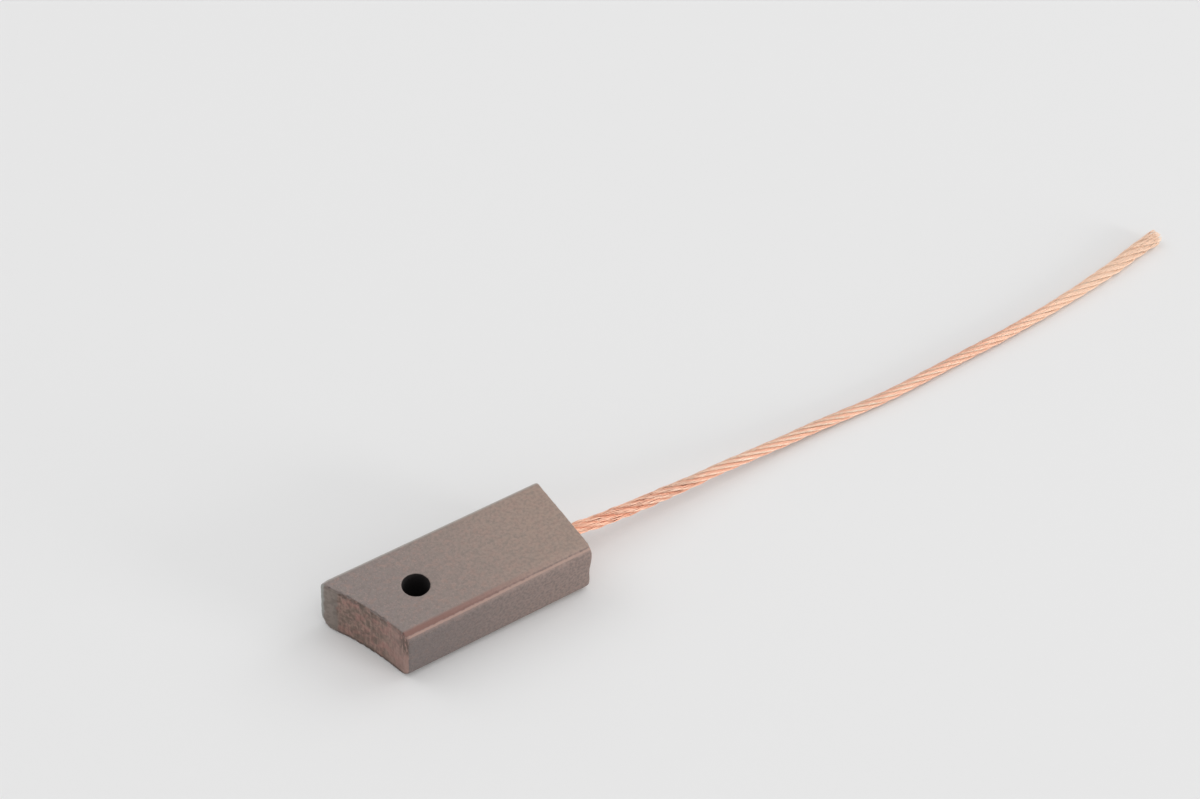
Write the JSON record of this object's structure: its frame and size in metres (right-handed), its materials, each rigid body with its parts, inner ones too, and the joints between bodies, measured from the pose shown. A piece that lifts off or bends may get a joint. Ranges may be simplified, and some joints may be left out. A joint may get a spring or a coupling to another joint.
{
  "type": "carbon brush",
  "caption": "Pressed copper-graphite brush block with a slanted, concave contact end, a cross hole and a bare stranded copper shunt.",
  "frame": {"origin": "centre of the block's lower wide face, on the surface that it rests on", "axes": "+X along the block towards the shunt, +Y towards the block's long side, +Z through the thickness, away from the resting face"},
  "size_m": [0.1071, 0.01, 0.0063],
  "materials": {
    "copper_graphite": "matte pressed copper-graphite, fine grain, rubbed coppery along one edge",
    "tamped_copper_powder": "matte compacted copper powder",
    "bare_copper_strand": "bare bright copper wire, satin"
  },
  "bodies": {
    "root": {"brush_block": "copper_graphite", "tamped_powder": "tamped_copper_powder", "shunt_cord": "bare_copper_strand"}
  },
  "joints": []
}
